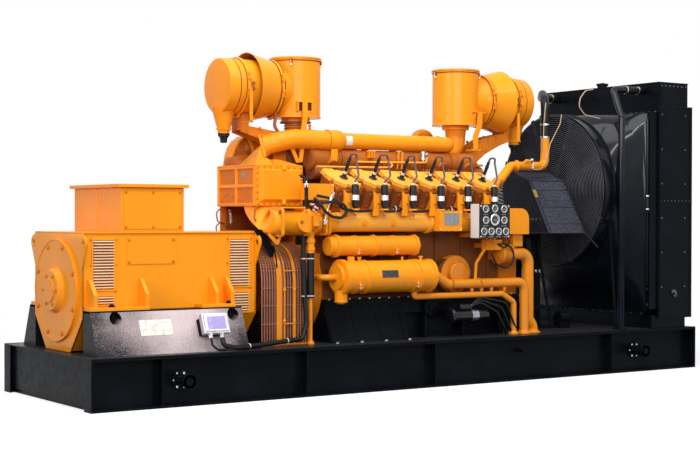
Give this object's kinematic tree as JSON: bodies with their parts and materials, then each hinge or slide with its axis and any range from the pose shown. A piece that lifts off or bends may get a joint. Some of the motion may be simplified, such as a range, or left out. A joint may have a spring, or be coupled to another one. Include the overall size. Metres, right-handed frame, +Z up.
{
  "type": "gas generator set",
  "caption": "Gas-engine generator set: alternator, vee gas engine with air cleaners and intercooler, belt-driven fan and radiator on one welded steel skid.",
  "frame": {"origin": "centre of the skid's underside, on the floor", "axes": "+X along the set from the alternator to the radiator, +Y across to the side away from the coolers, +Z up"},
  "size_m": [6.1, 1.727, 2.7248],
  "materials": {
    "amber_paint": "gloss",
    "casting_paint": "satin",
    "exhaust_paint": "matt",
    "guard_paint": "satin",
    "black_paint": "gloss",
    "core_fins": "matt",
    "black_rubber": "matt",
    "black_plastic": "gloss",
    "panel_paint": "satin",
    "cast_aluminium": "satin"
  },
  "bodies": {
    "root": {"skid_rails": "black_paint", "skid_beams": "black_paint", "deck_plate": "black_paint", "drain_stubs": "black_paint", "alternator_pedestals": "black_paint", "alternator_frame": "amber_paint", "alternator_end_plates": "amber_paint", "alternator_feet": "amber_paint", "alternator_end_cover": "amber_paint", "alternator_covers": "amber_paint", "terminal_box": "amber_paint", "terminal_box_lid": "amber_paint", "junction_box": "cast_aluminium", "coupling": "exhaust_paint", "coupling_guard": "guard_paint", "flywheel_housing": "casting_paint", "engine_bed": "black_paint", "crankcase": "casting_paint", "cylinder_heads": "casting_paint", "head_covers": "amber_paint", "ignition_coils": "black_plastic", "plug_leads": "black_rubber", "exhaust_manifolds": "exhaust_paint", "turbochargers": "exhaust_paint", "charge_pipes": "amber_paint", "intercooler": "amber_paint", "intercooler_stand": "casting_paint", "intercooler_hoods": "amber_paint", "throttle_duct": "amber_paint", "intake_manifolds": "amber_paint", "air_cleaner_drums": "amber_paint", "air_cleaner_filters": "amber_paint", "air_cleaner_arms": "casting_paint", "oil_cooler": "amber_paint", "heat_exchanger": "amber_paint", "water_pipes": "amber_paint", "starter_motor": "black_paint", "gear_case": "casting_paint", "instrument_panel": "panel_paint", "control_boxes": "amber_paint", "guard_hoses": "black_rubber", "fan_stand": "black_paint", "belt_guard": "black_paint", "fan": "black_paint", "fan_guard": "black_paint", "fan_shroud": "black_paint", "radiator_core": "core_fins", "radiator_frame": "black_paint", "radiator_tank": "black_paint", "coolant_pipes": "black_paint"}
  },
  "joints": []
}
